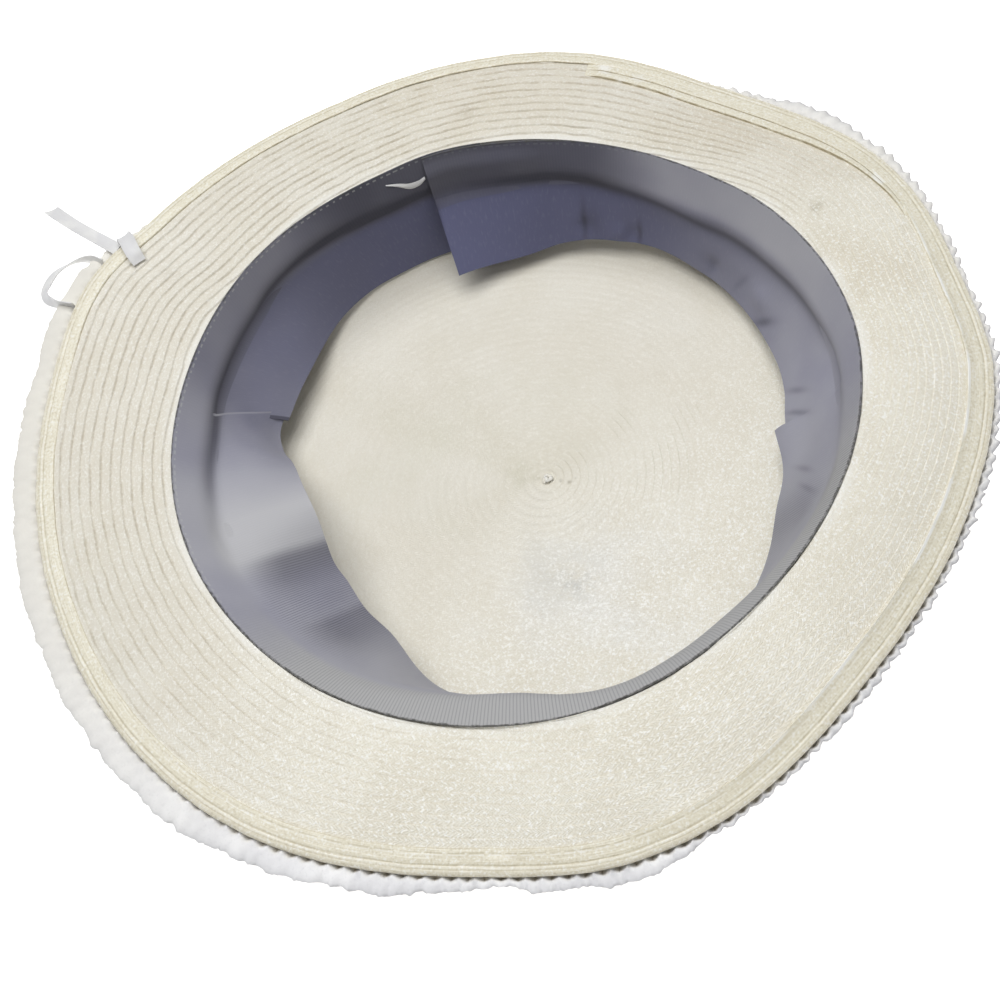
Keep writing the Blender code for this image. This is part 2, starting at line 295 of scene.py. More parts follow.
def rowCoordinates():
    # (u, v) of the rows map, and the place in the hat's own frame
    rows = addNode("UVMap", {}, uv_map="rows").outputs["UV"]
    split = addNode("SeparateXYZ", {0: rows})
    return split.outputs[0], split.outputs[1], addNode("TexCoord", {}).outputs["Object"]


strawLook = {
    "cream": (0.765, 0.735, 0.65),
    "creamNear": (0.87, 0.84, 0.735),
    "pale": (0.97, 0.965, 0.92),
    "rimHighlight": (0.93, 0.93, 0.89),
    "tan": (0.62, 0.56, 0.43),
    "seamShade": (0.41, 0.35, 0.25),
    "strand": 0.95 * mm,       # along a row, from one plaited strand to the next
    "smallMark": 8,            # marks smaller than this, in millimetres, have ragged edges
}
strawMasks = ("lines", "pale", "nearGrainAndGlint")


def strawMaterial(name, seamDepth, sparkle, marks=()):
    # sewn braid: u runs along a row in metres and v counts rows
    look = strawLook
    material = newMaterial(name)
    along, across, place = rowCoordinates()
    lines, pale, nearGrainAndGlint = masksOf(strawMasks)

    def byGrainAndGlint(value, smooth, rough):
        # an amount that goes from smooth to rough towards the near and right side, where the grain is coarser
        # and the painted glints stronger
        return times(value, spread(nearGrainAndGlint, 0, 1, smooth, rough))

    # plaited strands lean both ways from the middle of a row
    fromMiddle = awayFrom(calc("FRACT", across), 0.5)
    plait = calc("ADD", calc("DIVIDE", along, look["strand"]), times(fromMiddle, 3.4))
    plait = calc("ADD", plait, times(noiseAt(place, 700), 1.7))
    strand = times(calc("PINGPONG", plait, 0.5), 2)
    grain = fineGrain(place)
    # the painted shade line where a row's edge stands over the next is broken and uneven
    broken = spread(noiseAt(place, 950), 0.3, 0.7, -0.02, 0.055)
    ragged = calc("ADD", calc("SUBTRACT", 0.5, fromMiddle), broken)
    patchy = spread(noiseAt(place, 130, 3), 0.34, 0.66, 0.25, 1)
    patch = spread(noiseAt(place, 42, 3), 0.64, 0.36, 0, 0.20)
    color = layered(look["cream"], (nearGrainAndGlint, look["creamNear"]), (patch, look["tan"]))
    for x, y, z, size, tint, amount in marks:
        centre = (x * mm, y * mm, z * mm)
        away = addNode("VectorMath", {0: place, 1: centre}, operation="DISTANCE").outputs["Value"]
        fineness = 420 if size < look["smallMark"] else 60
        reach = 2.2 * size * mm
        away = calc("ADD", away, times(noiseAt(place, fineness, 4), reach))
        color = layered(color, (spread(away, reach, 0.7 * size * mm, 0, amount), tint))
    color = layered(
        color,
        (byGrainAndGlint(spread(grain, 0.47, 0.30), 0.16, 0.36), look["tan"]),
        (byGrainAndGlint(spread(strand, 0.40, 0), 0.12, 0.34), look["tan"]),
        # painted highlights: white glints on the grain and short white dashes along the rows
        (byGrainAndGlint(spread(grain, 0.54, 0.63), sparkle, 0.90), look["pale"]),
        (byGrainAndGlint(spread(streaks(along, across, 620, 4.3), 0.55, 0.74), sparkle, 0.5), look["pale"]),
        # painted highlight along the rim and at the knot's start, from the pale mask
        (times(pale, 0.5), look["rimHighlight"]),
        # painted shade: a dark line under each row's raised edge, as strong as the lines mask and seamDepth
        # say
        (times(spread(ragged, 0.20, 0.01), patchy, lines, seamDepth), look["seamShade"]),
    )
    height = byGrainAndGlint(calc("ADD", times(strand, 0.7), times(grain, 1.1)), 0.45, 1)
    roughness = spread(grain, 0.45, 0.72, 0.58, 0.26)
    return finishMaterial(material, color, roughness, height, 0.6, 0.16 * mm, Specular_IOR_Level=0.5)


bandLook = {
    "color": (0.285, 0.285, 0.355),
    "cloud": (0.360, 0.360, 0.415),
    "pale": (0.480, 0.480, 0.500),
    "deep": (0.060, 0.060, 0.085),
    "blue": (0.128, 0.134, 0.232),
    "neutral": (0.430, 0.430, 0.432),
    "thread": (0.50, 0.50, 0.56),
    "edge": (0.085, 0.085, 0.080),
    "stitch": (0.50, 0.51, 0.50),
}


def ribbonMaterial(name):
    # grosgrain: u runs along the ribbon and v across it, in metres
    look = bandLook
    material = newMaterial(name)
    along, across, place = rowCoordinates()
    dark, blue, pale, ribbed, neutral, stitched = masksOf(bandMaskNames)
    rib = times(zigzag(along, bandShape["ribPitch"]), 2)
    thread = streaks(along, across, 1500, 420)
    ribLight = times(spread(rib, 0.25, 0.8, 0, 0.45), ribbed)
    # the sewn edge: a dark rolled line, partly painted shade in the gap against the brim, then pale stitches
    uneven = spread(noiseAt(place, 260), 0.3, 0.7, -0.12, 0.12)
    dashes = spread(calc("ADD", zigzag(along, bandShape["stitchPitch"]), uneven), 0.24, 0.32)
    stitch = spread(awayFrom(across, bandShape["stitchLine"]), 0.34 * mm, 0.12 * mm)
    wavy = spread(noiseAt(place, 420), 0.3, 0.7, -0.16 * mm, 0.16 * mm)
    rolled = spread(calc("ADD", across, wavy), 0.34 * mm, 0.10 * mm, 0, 0.85)
    dotted = spread(noiseAt(place, 900), 0.35, 0.60, 0.35, 1)
    color = layered(
        look["color"],
        (spread(noiseAt(place, 34, 2), 0.32, 0.68), look["cloud"]),
        # pale and neutral are painted light, blue is painted shade
        (pale, look["pale"]), (blue, look["blue"]), (neutral, look["neutral"]),
        # painted shade in the grooves between the ribs, where they show
        (times(spread(rib, 0.5, 0, 0, 0.50), ribbed), look["deep"]),
        (spread(thread, 0.52, 0.75, 0, 0.06), look["thread"]),
        # the dark mask's painted shade, lifted by painted light on the rib tops
        (times(dark, calc("SUBTRACT", 1, ribLight)), look["deep"]),
        (times(stitch, dashes, stitched), look["stitch"]),
        (times(rolled, dotted), look["edge"]),
    )
    height = calc("ADD", times(rib, ribbed), times(thread, 0.3))
    return finishMaterial(
        material, color, 0.8, height, 0.5, 0.12 * mm,
        Specular_IOR_Level=0.25, Sheen_Weight=0.12, Sheen_Roughness=0.5,
    )


edgeLook = {
    "cream": (0.82, 0.785, 0.65),
    "tan": (0.75, 0.705, 0.56),
    "strand": (0.91, 0.875, 0.74),
    "groove": (0.42, 0.35, 0.21),
    "pale": (0.95, 0.95, 0.92),
    "stitchPitch": 4.6 * mm,
    "stitchLine": -2.3 * mm,   # from the straw's edge, with its dark side just inside
    "stitchShade": -2.75 * mm,
}
edgeMasks = ("tan", "pale", "groove")


def smoothStrawMaterial(name):
    # flattened braid: u runs along it and v across, in metres
    look = edgeLook
    material = newMaterial(name)
    along, across, place = rowCoordinates()
    tanned, pale, groove = masksOf(edgeMasks)
    fibre = streaks(along, across, 110, 3600, 3)
    grain = fineGrain(place)
    color = layered(
        look["cream"],
        (tanned, look["tan"]),
        (spread(noiseAt(place, 70, 3), 0.60, 0.35, 0, 0.28), look["tan"]),
        (spread(fibre, 0.52, 0.66, 0, 0.75), look["strand"]),
        (spread(fibre, 0.44, 0.30, 0, 0.22), look["groove"]),
        (spread(grain, 0.47, 0.32, 0, 0.30), look["groove"]),
        # painted highlights: white glints on the grain, then the pale mask's highlight on raised edges
        (spread(grain, 0.53, 0.64, 0, 0.55), look["pale"]),
        (pale, look["pale"]),
    )
    dashes = spread(zigzag(along, look["stitchPitch"]), 0.10, 0.14)
    for line, tint in (("stitchLine", "pale"), ("stitchShade", "groove")):
        stitch = spread(awayFrom(across, look[line]), 0.20 * mm, 0.05 * mm, 0, 0.45)
        color = layered(color, (times(stitch, dashes, tanned), look[tint]))
    # dark grooves: joints between the strands, with painted shade at the band's inner edge and along the
    # lap's inner edges
    broken = spread(noiseAt(place, 330), 0.30, 0.60, 0.35, 1)
    color = layered(color, (times(groove, broken), look["groove"]))
    return finishMaterial(material, color, spread(fibre, 0.4, 0.7, 0.5, 0.3), fibre, 0.4, 0.1 * mm)


ruffleLook = {
    "grey": (0.82, 0.82, 0.84),
    "white": (0.93, 0.93, 0.94),
    "weave": (0.60, 0.60, 0.63),
    "cream": (0.76, 0.735, 0.66),
    "rim": (0.46, 0.46, 0.48),     # painted shade along the loose border, which curls down
    "shade": (0.76, 0.66, 0.46),   # in the pleats under the edge
}
ruffleMasks = ("shade", "rim", "cream")


def ruffleMaterial(name):
    look = ruffleLook
    material = newMaterial(name)
    place = rowCoordinates()[2]
    shade, rim, cream = masksOf(ruffleMasks)
    weave = fineGrain(place)
    color = layered(
        look["grey"],
        (spread(noiseAt(place, 110, 3), 0.35, 0.68), look["white"]),
        (spread(weave, 0.47, 0.30, 0, 0.22), look["weave"]),
        (cream, look["cream"]), (rim, look["rim"]), (shade, look["shade"]),
    )
    return finishMaterial(
        material, color, 0.8, weave, 0.5, 0.10 * mm, Specular_IOR_Level=0.2, Sheen_Weight=0.2,
    )


satinLook = {
    "grey": (0.70, 0.70, 0.71),
    "white": (0.79, 0.79, 0.78),
    "thread": (0.60, 0.60, 0.61),
}


def satinMaterial(name):
    look = satinLook
    material = newMaterial(name)
    along, across, place = rowCoordinates()
    fine = streaks(along, across, 4200, 420)
    color = layered(
        look["grey"],
        (spread(noiseAt(place, 160), 0.35, 0.7), look["white"]),
        (spread(fine, 0.45, 0.3, 0, 0.3), look["thread"]),
    )
    return finishMaterial(material, color, 0.42, fine, 0.3, 0.06 * mm, Specular_IOR_Level=0.35)


brimShape = {
    "segments": 720,
    "pitch": 2.75 * mm,        # between rows of braid
    "step": 0.42 * mm,         # height of a row's edge over the next row
    "rows": 19,
    "wobble": 0.26 * mm,
    "insideBand": 0.4 * mm,    # from the straw's edge to the end of the rows, inside the edge band
    "sunk": 0.25 * mm,
    "seamDepth": 0.46,
    "sparkle": 0.45,
}

# angle, row pitch as a share of pitch, how plainly the rows stand out, in relief and in the painted shade
# under their edges
rowTable = [
    (-150, 1.05, 0.85), (-120, 0.95, 0.55), (-80, 0.86, 0.42), (-40, 0.76, 0.36), (0, 0.72, 0.36),
    (32, 0.80, 0.85), (62, 1.05, 1.35), (100, 1.08, 1.35), (140, 1.12, 1), (176, 1.02, 1),
]


rowLip = 0.86                  # share of a row where its inner edge starts to fall


def rowHeight(rows):
    # shingled rows: each row's inner edge stands over the next one
    f = rows - floor(rows)
    if f > rowLip:
        return (1 - f) / (1 - rowLip)
    return 0.12 + 0.88 * (f / rowLip) ** 0.85


def nearness(spot):
    # 0 at the hat's upper left in the photo, 1 at its near and right side, where the straw is lighter in
    # tone, its grain coarser and its painted glints stronger
    return ease(0.42 * spot[0] - 0.91 * spot[1], -28 * mm, 55 * mm)


# place, size, tint and strength of each mark, in millimetres: the three large ones darken the brim's far and
# right side, the three small ones are stains
brimMarks = [
    (15, 108, 37, 46, (0.66, 0.60, 0.47), 0.42), (84, 66, 37, 34, (0.63, 0.56, 0.43), 0.42),
    (99, 6, 37, 22, (0.64, 0.56, 0.42), 0.40), (94.5, 28, 37.5, 3.6, (0.42, 0.38, 0.28), 0.60),
    (18, 100, 38, 4.5, (0.46, 0.40, 0.30), 0.45), (-74, 78, 38, 4.5, (0.44, 0.39, 0.30), 0.40),
]


def makeBrim():
    shape = brimShape
    count, rowCount = shape["segments"], shape["rows"]
    parts, underParts = (0, 0.35, 0.7, rowLip), (0, rowLip)
    places = [(k + f, True) for k in range(rowCount) for f in parts]
    places += [(k + f, False) for k in reversed(range(rowCount)) for f in reversed(underParts)]
    verts = []
    for i in range(count + 1):
        angle = 360 * i / count
        rim, outer, _ = station(angle)
        outer -= shape["insideBand"]
        pitch = shape["pitch"] * readTable(rowTable, 1, angle)
        show = readTable(rowTable, 2, angle)
        spiral = angle / 360
        along = radians(angle) * (rim + outer) / 2
        for rows, above in places:
            radius = clamp(outer - pitch * (rows - spiral), rim, outer)
            if rim < radius < outer:
                wander = shape["wobble"] * (0.4 + show) * bumpy(polar(angle, radius, 0), 6 * mm, 3.1)
                radius = clamp(radius + wander, rim, outer)
                relief = rowHeight(rows)
            else:
                relief = rowHeight((outer - radius) / pitch + spiral)
            relief *= shape["step"] * (0.3 + 0.7 * min(show, 1))
            spot = polar(angle, radius, brimTop(angle, radius))
            spot.z += 0.28 * mm * bumpy(spot, 24 * mm, 9)
            spot.z += relief - shape["sunk"] if above else -strawWall - 0.05 * mm - 0.6 * relief
            # painted highlight: a pale, patchy ring on the straw next to the rim
            close = 1 - ease(radius - rim, 0.6 * mm, 3.4 * mm)
            pale = close * (0.35 + 0.65 * ease(bumpy(spot, 17 * mm, 1.3), -0.1, 0.25))
            corner = (along, rows if above else rows + 7)
            verts.append((spot, corner, (show, pale, nearness(spot))))
    faces = gridFaces(count + 1, len(places))
    material = strawMaterial("brimStraw", shape["seamDepth"], shape["sparkle"], brimMarks)
    return meshPiece("strawBrim", verts, faces, material, strawMasks, sharp=38)


crownShape = {
    "segments": 300,
    "pitch": 2.45 * mm,
    "step": 0.26 * mm,
    "centre": (5.3 * mm, -1.5 * mm),   # where the spiral of braid starts
    "lip": 0.07,               # share of a row over which its edge rises
    "belowRim": 0.3 * mm,
    "seamDepth": 0.26,
    "sparkle": 0.10,
}


def crownPlace(angle, path, inset):
    # point and outward normal of the crown's face at a length along its section from the middle
    flat = bendCentre
    bend = shoulderRadius - inset
    arc = bend * (pi / 2 - lean)
    if path <= flat:
        share = path / flat
        x = crownShape["centre"][0] * (1 - share) ** 1.5
        y = crownShape["centre"][1] * (1 - share) ** 1.5
        return polar(angle, path, inset) + Vector((x, y, 0)), Vector((0, 0, -1))
    if path <= flat + arc:
        turn = (path - flat) / bend
        height = shoulderRadius - bend * cos(turn)
        radius = bendCentre + bend * sin(turn)
        normal = polar(angle, sin(turn), -cos(turn))
        return polar(angle, radius, height), normal
    rise = (path - flat - arc) * cos(lean)
    height = shoulderRadius - bend * sin(lean) + rise
    normal = polar(angle, cos(lean), -sin(lean))
    return polar(angle, crownRadius(angle, height, inset), height), normal


def ringShow(spot):
    # the braid's rings show best to the right of the middle and hardly at the left, in relief and in the
    # painted shade at their edges
    right = exp(-((spot[0] - 34 * mm) ** 2 + (spot[1] + 4 * mm) ** 2) / (20 * mm) ** 2)
    middle = exp(-((spot[0] - 6 * mm) ** 2 + (spot[1] + 8 * mm) ** 2) / (11 * mm) ** 2)
    uneven = ease(bumpy(spot, 12 * mm, 8.4), -0.3, 0.3)
    flat = (0.06 + 0.70 * right + 0.40 * middle) * (0.35 + 0.65 * uneven)
    return clamp(flat + ease(spot[2], 3 * mm, 9 * mm))


# place, size, tint and strength of each mark, in millimetres: dark flecks right of and below the knot are
# painted shade cast by it, two olive patches darken round it, two grey ones lower down are stains, a large
# whiter one lightens the tip's near half and two large tan ones darken its upper left and upper middle
crownMarks = [
    (8.3, -3.3, 1.3, 0.8, (0.26, 0.24, 0.17), 0.80), (10.4, -4.6, 1.3, 0.9, (0.26, 0.24, 0.17), 0.75),
    (12.4, -3.9, 1.3, 0.7, (0.34, 0.32, 0.24), 0.60), (3.1, -0.2, 1.3, 1.6, (0.40, 0.38, 0.28), 0.75),
    (-1, 3, 1.3, 6, (0.54, 0.53, 0.41), 0.50), (3.1, -35.7, 1.3, 5.4, (0.42, 0.43, 0.42), 0.75),
    (8, -40, 1.3, 36, (0.83, 0.84, 0.84), 0.55), (0, -31, 1.3, 13, (0.56, 0.57, 0.55), 0.40),
    (-26, 22, 1.3, 34, (0.63, 0.61, 0.49), 0.36), (8, 8, 1.3, 36, (0.66, 0.63, 0.51), 0.42),
]


def makeCrown():
    shape = crownShape
    count, lip = shape["segments"], shape["lip"]
    top = crownDepth - strawWall - shape["belowRim"]
    sides = []
    for inset, parts in ((strawWall, (0, lip, 0.5, 1)), (0, (0, lip, 1))):
        bend = shoulderRadius - inset
        tangent = shoulderRadius - bend * sin(lean)
        length = bendCentre + bend * (pi / 2 - lean) + (top - tangent) / cos(lean)
        sides.append((inset, length, parts))
    rowCount = int(length / shape["pitch"]) + 2
    verts = []
    for i in range(count + 1):
        angle = 360 * i / count
        for inset, length, parts in sides:
            line = []
            for k, f in ((k, f) for k in range(-1, rowCount) for f in parts):
                path = clamp(shape["pitch"] * (k + f + angle / 360), 0, length)
                relief = 0.15 if f == 0 else 1 - 0.85 * (f - lip) / (1 - lip)
                relief *= shape["step"]
                fade = ease(path, 0, 2.5 * mm)
                spot, normal = crownPlace(angle, path, inset)
                show = ringShow(spot)
                if inset:
                    wave = 0.22 * mm * bumpy(spot, 21 * mm, 4) * fade
                    spot += normal * (0.15 * mm - (0.25 + 0.75 * show) * relief * fade - wave)
                else:
                    spot -= normal * ((shape["step"] - relief) * 0.8 * fade)
                    spot.z = max(spot.z, 0)
                corner = (radians(angle) * shape["pitch"] * (k + 1.5), 200 - k - f)
                nearGrainAndGlint = nearness(spot + Vector((0, 12 * mm, 0)))
                line.append((spot, corner, (show, 0, nearGrainAndGlint)))
            verts += line if inset else line[::-1]
    faces = gridFaces(count + 1, len(verts) // (count + 1))
    material = strawMaterial("crownStraw", shape["seamDepth"], shape["sparkle"], crownMarks)
    return meshPiece("strawCrown", verts, faces, material, strawMasks, sharp=38)


knotShape = {
    "steps": 44,
    "around": 8,
    "startAngle": 100,
    "turns": 1.35,
    "reach": 1.35 * mm,
    "thick": 0.72 * mm,
    "height": 0.8 * mm,
    "sparkle": 0.3,
}


def makeKnot():
    # the braid's turned-in start, a small coil at the middle of the tip
    shape = knotShape
    steps, around = shape["steps"], shape["around"]
    centre = Vector((*crownShape["centre"], strawWall))
    verts = []
    for i in range(steps + 1):
        t = i / steps
        out = polar(shape["startAngle"] + 360 * shape["turns"] * t, 1, 0)
        middle = centre + out * shape["reach"] * (0.18 + 0.82 * t)
        middle.z += shape["height"] * (1 - 0.85 * t)
        thick = shape["thick"] * (1 - 0.35 * t) * (1 + 0.22 * sin(9 * t * pi))
        for j in range(around):
            turn = 2 * pi * j / around
            spot = middle + out * (thick * cos(turn)) + Vector((0, 0, 0.75 * thick * sin(turn)))
            # painted highlight: the coil's start is painted white through the pale mask, fading along the
            # coil
            verts.append((spot, (spot.x, 0.5), (1.6 - 1.6 * t,)))
    faces = gridFaces(steps + 1, around, capped=True)
    material = strawMaterial("knotStraw", 0, shape["sparkle"])
    return meshPiece("braidStart", verts, faces, material, ("pale",), merge=0)


edgeShape = {
    "segments": 720,
    "ridge": 0.5,              # how far its inner edge stands up at the right, in millimetres
    "waver": 0.14 * mm,
}

# angle, how far the edge band laps over the straw in millimetres, how tan it is, how far its inner edge
# stands up, as a share of ridge, which also sets the painted highlight along that edge
edgeTable = [
    (-170, 3.2, 0.25, 0), (-150, 3.6, 0.55, 0), (-125, 3.9, 0.85, 0), (-95, 3.9, 1, 0.1),
    (-76, 4, 0.65, 0.5), (-60, 4.2, 0.40, 0.9), (-30, 4.3, 0.25, 1), (0, 4.2, 0.20, 1),
    (12, 3.4, 0.25, 0.2), (40, 2.9, 0.40, 0), (75, 2.8, 0.45, 0), (115, 2.9, 0.30, 0), (150, 3.1, 0.20, 0),
]


def edgeSection(angle):
    # (out from the straw's edge, up from the straw's middle, pale, groove) in millimetres, round the section;
    # pale is a painted highlight on the raised inner edge and the bead strands, groove darkens the joints
    # between the strands and paints shade in the gap at the inner edge and under the outer roll
    wide = readTable(edgeTable, 1, angle)
    raised = readTable(edgeTable, 3, angle)
    lift = edgeShape["ridge"] * raised
    return [
        (-wide, 0.55, 0, 0.7), (-wide + 0.04, 0.86 + lift, 0.3 * raised, 0.5 - 0.4 * raised),
        (-wide + 0.30, 1.06 + lift * 1.1, raised, 0), (-wide + 0.62, 1.06 + lift * 0.7, raised, 0),
        (-wide + 0.95, 1.05 + lift * 0.2, 0, 0.1 * raised), (-1.3, 1.04, 0, 0), (-0.55, 1.02, 0, 0),
        (-0.30, 0.99, 0, 0.15), (-0.10, 0.90, 0, 0.60), (0.08, 0.92, 0, 0.2), (0.36, 0.98, 0.25, 0),
        (0.70, 0.92, 0.15, 0), (0.92, 0.80, 0, 0.45), (1.10, 0.80, 0, 0.10), (1.50, 0.72, 0.1, 0),
        (1.95, 0.38, 0, 0), (2.18, -0.05, 0, 0.1), (2.05, -0.50, 0, 0.3), (1.60, -0.84, 0, 0.3),
        (0.60, -1.02, 0, 0), (-1.5, -1.08, 0, 0), (-2.5, -1.05, 0, 0), (-2.8, -0.90, 0, 0),
        (-2.8, -0.65, 0, 0), (0, -0.62, 0, 0), (0, 0.50, 0, 0),
    ]


def makeEdgeBand():
    count = edgeShape["segments"]
    verts = []
    for i in range(count + 1):
        angle = 360 * i / count
        edge = station(angle)[1]
        section = edgeSection(angle)
        for out, up, pale, groove in section:
            radius = edge + out * mm
            spot = polar(angle, radius, brimTop(angle, min(radius, edge)) - strawWall / 2)
            waver = edgeShape["waver"] * bumpy(spot, 6 * mm, 5)
            tanned = clamp(readTable(edgeTable, 2, angle) + 0.5 * (out > 0.9))
            pale *= ease(bumpy(spot, 9 * mm, 2.2), -0.45, 0.15)
            spot = polar(angle, radius + waver, spot.z + up * mm + 0.5 * waver)
            verts.append((spot, (radians(angle) * edge, out * mm), (tanned, pale, groove)))
    faces = gridFaces(count + 1, len(section))
    return meshPiece("edgeBand", verts, faces, smoothStrawMaterial("edgeStraw"), edgeMasks, sharp=45)


lapShape = {
    "from": 9,
    "to": 62,
    "segments": 160,
    "rows": 2,
    "pitch": 2.9 * mm,
    "inFromEdge": 2.4 * mm,
    "thick": 0.5 * mm,
    # share of a row's width, height share, groove: painted shade along each row's inner edge
    "profile": (
        (0, 0.45, 0.5), (0.12, 0.80, 0), (0.5, 0.95, 0), (0.90, 1.10, 0), (0.97, 1, 0.7), (1, 0.35, 1),
    ),
}


def makeEndLap():
    # the end of the braid, smooth rows sewn over the brim beside the edge band
    shape = lapShape
    count = shape["segments"]
    verts = []
    for i in range(count + 1):
        share = i / count
        angle = shape["from"] + (shape["to"] - shape["from"]) * share
        edge = station(angle)[1]
        end = 0.1 + 0.9 * ease(share, 0, 0.03) * ease(1 - share, 0, 0.05)
        narrow = 0.35 + 0.65 * ease(share, 0, 0.45)
        line = []
        for row in range(shape["rows"]):
            for across, up, groove in shape["profile"]:
                inward = shape["inFromEdge"] + shape["pitch"] * narrow * (row + across)
                line.append((inward, shape["thick"] * up + 0.12 * mm * row, groove))
        line += [(line[-1][0], -0.5 * mm, 0.5), (shape["inFromEdge"], -0.5 * mm, 0)]
        for inward, up, groove in line:
            radius = edge - inward
            spot = polar(angle, radius, brimTop(angle, radius))
            radius += 0.25 * mm * bumpy(spot, 12 * mm, 7)
            tanned = 0.30 + 0.4 * ease(bumpy(spot, 8 * mm, 3), 0, 0.4)
            # painted highlight in patches on the smooth rows
            pale = 0.7 * ease(bumpy(spot, 7 * mm, 1), 0.22, 0.42)
            spot = polar(angle, radius, spot.z + (up + 0.10 * mm) * end)
            verts.append((spot, (radians(angle) * edge, inward), (tanned, pale, groove)))
    faces = gridFaces(count + 1, len(line), capped=True)
    return meshPiece("braidEnd", verts, faces, smoothStrawMaterial("lapStraw"), edgeMasks, sharp=45, merge=0)


bandShape = {
    "width": 36 * mm,
    "thick": 0.45 * mm,
    "proud": 0.3 * mm,
    "clearance": 1.4 * mm,     # its loose edge stays above the tip
    "ribPitch": 0.77 * mm,
    "ribDepth": 0.05 * mm,
    "gap": 0.10,               # behind its sewn edge, in millimetres
    "across": 30,
    "backEvery": 5,            # of the front's columns, one on the back
    "meanRadius": 78 * mm,
    "stitchPitch": 1.9 * mm,
    "stitchLine": 0.85 * mm,   # from the sewn edge
}
bandMaskNames = ("dark", "blue", "pale", "ribbed", "neutral", "stitched")

# angle, how far the loose edge comes in, lean from upright above the crease, lean in it,
# where the crease lies from the seam, width past the seam, layers beneath; lengths in millimetres
bandTable = [
    (78, 5.8, 16, -6, 13, 36, 0), (103, 5.8, 16, -6, 12, 36, 0), (114, 8.2, 20, -8, 10.5, 36, 0),
    (126, 14.5, 22, -8, 11, 36, 0), (132, 17, 24, -8, 12, 36, 0), (142, 18.4, 30, -6, 12, 36, 0),
    (149, 18.4, 33, -4, 12, 36, 0), (155, 21.6, 38, 6, 12, 36, 0), (161, 26.6, 42, 14, 12, 36, 0),
    (169, 30, 46, 24, 11, 36, 0), (182, 32.2, 50, 40, 10, 36, 0), (192, 31.6, 51, 46, 9, 36, 0),
    (205, 29.6, 52, 50, 9, 36, 0), (220, 27.2, 56, 50, 9, 36, 0), (234, 20.5, 70, 45, 10, 36, 0),
    (245, 18.5, 80, 30, 11, 36, 0), (255, 18, 80, 10, 12, 36, 0), (265, 15, 76, 10, 9, 36, 0),
    (273, 13, 62, 24, 8, 36, 0), (285, 13.6, 52, 30, 8, 36, 0), (300, 13.6, 42, 30, 9, 36, 0),
    (312, 16, 36, 26, 9, 36, 0), (324, 18.6, 33, 20, 9, 36, 0), (340, 19.2, 30, 14, 11, 36, 0),
    (352, 19.4, 30, 2, 13, 36, 0), (364, 16.4, 30, -8, 15, 36, 0), (376, 13.4, 28, -12, 16, 36, 0),
    (390, 9, 26, -14, 16, 35, 0), (400, 7.6, 24, -14, 16, 33.4, 0), (412, 7.6, 22, -12, 14, 33, 0.1),
    (421, 8.4, 20, -10, 12.5, 33.8, 0.3), (433, 11.6, 10, -2, 12.5, 36, 1.4),
    (449, 16, 6, 2, 13, 36.5, 1.6),
]

# angle, how dark the painted shade in the crease is, how strong the bluer painted shade below it is
creaseTable = [
    (78, 0.75, 0.9), (103, 0.80, 0.9), (122, 0.80, 0.75), (140, 0.85, 0.45), (156, 0.95, 0.15),
    (168, 0.70, 0), (178, 0.20, 0), (190, 0, 0), (330, 0, 0), (345, 0.35, 0), (362, 0.60, 0.05),
    (385, 0.80, 0.35), (402, 0.90, 0.75), (420, 0.92, 0.95), (449, 0.30, 1),
]

# angle along the ribbon, height of the swells and hollows that run across it, in millimetres
swellTable = [
    (78, 0), (150, 0), (169, 0.4), (186, 1.4), (196, -0.9), (204, 0.6), (213, -0.6), (223, 0.3), (240, 0),
    (300, 0), (318, -0.7), (328, 0.7), (339, -0.2), (349, 0.8), (356, -0.3), (375, 0), (393, 0.4),
    (404, -0.5), (415, 0.3), (449, 0.2),
]

# angle, distance from the seam, size and height of pinched places, in millimetres
pinches = [
    (376.4, 28, 4, 1.1), (391, 30, 2.6, -0.8), (409.6, 30, 2.4, -0.9), (412.5, 30, 2.6, 0.6),
    (420, 29, 2.4, -0.8), (347, 33, 2.6, 0.8), (444, 9, 6, -0.8), (183, 13, 5, -1),
]

# angle, distance from the seam, size across and along the ribbon in millimetres, how dark, slant: small
# folds, with painted shade in each
folds = [
    (373.6, 33, 1.7, 3.6, 0.60, 0.9), (420, 27.5, 0.9, 6.5, 0.60, 0), (418.2, 27, 2.6, 5, 0.28, 0),
    (408.4, 29.5, 0.9, 5, 0.55, 0), (391, 30, 1.6, 3.5, 0.28, 0.3), (383, 29, 1.2, 4, 0.25, 0.5),
    (353.5, 31, 1.1, 4, 0.38, 0.7), (348, 31, 1, 4.5, 0.45, 0.6), (333, 26, 1, 4.5, 0.36, 0.6),
    (327, 21, 0.9, 4.5, 0.32, 0.6), (151, 25, 4, 3, 0.16, 0),
]

# start and end of each run of ribbon, each at the seam and at the loose edge, how far its start lies in front
# of the run beneath, and extra reach at its start and its end, in millimetres
bandRuns = [
    (78, 78, 156, 145.5, 0, 0, 0), (156, 143.6, 346, 346, 0.75, -1.8, 2.4), (343, 343, 449, 449, -0.7, 0, 0),
]

bandLines = {}


def openTable(table, column, at):
    return readTable(table, column, at, closed=False)


